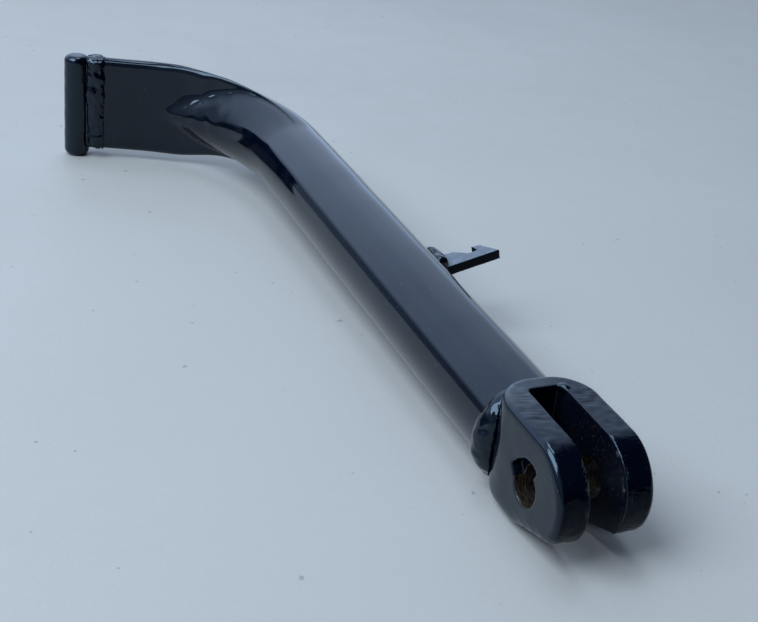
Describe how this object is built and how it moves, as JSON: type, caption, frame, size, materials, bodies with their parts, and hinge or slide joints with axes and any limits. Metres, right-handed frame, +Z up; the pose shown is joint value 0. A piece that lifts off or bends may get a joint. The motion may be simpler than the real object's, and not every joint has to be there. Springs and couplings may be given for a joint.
{
  "type": "motorcycle side stand leg",
  "caption": "Welded side stand leg: slotted pivot fork, round tube bent and pressed into a blade, upright ground bar and a side hook for the return spring.",
  "frame": {"origin": "centre of the pivot bore, midway between the fork's two ears", "axes": "+X along the straight leg from the pivot towards the foot, +Y along the pivot bore to the side the leg bends to, +Z up as the stand lies flat"},
  "size_m": [0.3052, 0.1074, 0.0413],
  "materials": {
    "fork_paint": "gloss black paint over a flame-cut steel block, bare and rusty in the bore",
    "tube_paint": "gloss black paint on smooth tube",
    "bar_paint": "gloss black paint, slightly scuffed",
    "hook_paint": "gloss black paint on cut plate",
    "weld_paint": "gloss black paint over lumpy weld"
  },
  "bodies": {
    "root": {"pivot_fork": "fork_paint", "leg_tube": "tube_paint", "foot_bar": "bar_paint", "spring_hook": "hook_paint", "fork_weld": "weld_paint", "foot_weld": "weld_paint", "hook_weld_upper": "weld_paint", "hook_weld_lower": "weld_paint"}
  },
  "joints": []
}
